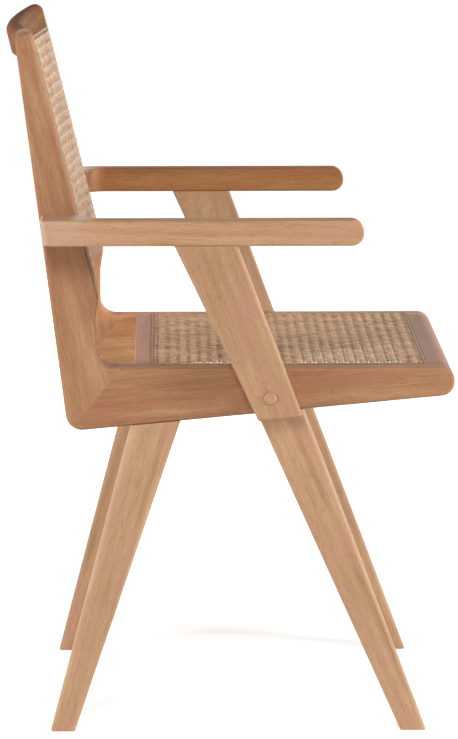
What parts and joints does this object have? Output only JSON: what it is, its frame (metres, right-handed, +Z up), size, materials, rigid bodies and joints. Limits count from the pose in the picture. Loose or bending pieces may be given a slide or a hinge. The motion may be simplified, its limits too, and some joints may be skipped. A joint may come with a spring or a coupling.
{
  "type": "dining armchair",
  "caption": "Dining armchair with mitred wooden side frames, splayed tapered legs, leaning arm posts, straight arms, a cane seat and a bowed cane back.",
  "frame": {"origin": "on the floor, below the middle of the outer box", "axes": "+Z up, the sitter faces -Y, +X is the sitter's left"},
  "size_m": [0.58, 0.5412, 0.851],
  "materials": {
    "frame_wood": "oiled reddish-brown hardwood with a low sheen",
    "button_wood": "oiled wooden button, end grain out",
    "tenon_wood": "bare pale hardwood",
    "woven_cane": "natural split cane in a six-way weave",
    "reed_spline": "natural reed, smooth",
    "steel_fixing": "zinc-plated steel"
  },
  "bodies": {
    "root": {"arm_left": "frame_wood", "arm_post_left": "frame_wood", "arm_post_right": "frame_wood", "arm_right": "frame_wood", "arm_tenon_left": "tenon_wood", "arm_tenon_right": "tenon_wood", "back_bottom_rail": "frame_wood", "back_bottom_tenon_left": "tenon_wood", "back_bottom_tenon_right": "tenon_wood", "back_cane": "woven_cane", "back_spline_bottom": "reed_spline", "back_spline_left": "reed_spline", "back_spline_right": "reed_spline", "back_spline_top": "reed_spline", "back_stile_left": "frame_wood", "back_stile_right": "frame_wood", "back_top_rail": "frame_wood", "back_top_tenon_left": "tenon_wood", "back_top_tenon_right": "tenon_wood", "front_leg_left": "frame_wood", "front_leg_right": "frame_wood", "front_leg_tenon_left": "tenon_wood", "front_leg_tenon_right": "tenon_wood", "mitre_tenon_left": "tenon_wood", "mitre_tenon_right": "tenon_wood", "post_bolt_left": "steel_fixing", "post_bolt_right": "steel_fixing", "post_button_left": "button_wood", "post_button_right": "button_wood", "post_insert_left": "steel_fixing", "post_insert_right": "steel_fixing", "post_tenon_left": "tenon_wood", "post_tenon_right": "tenon_wood", "rear_leg_left": "frame_wood", "rear_leg_right": "frame_wood", "rear_leg_tenon_left": "tenon_wood", "rear_leg_tenon_right": "tenon_wood", "seat_cane": "woven_cane", "seat_front_rail": "frame_wood", "seat_front_tenon_left": "tenon_wood", "seat_front_tenon_right": "tenon_wood", "seat_rail_left": "frame_wood", "seat_rail_right": "frame_wood", "seat_rear_rail": "frame_wood", "seat_rear_tenon_left": "tenon_wood", "seat_rear_tenon_right": "tenon_wood", "seat_spline_front": "reed_spline", "seat_spline_left": "reed_spline", "seat_spline_rear": "reed_spline", "seat_spline_right": "reed_spline"}
  },
  "joints": []
}
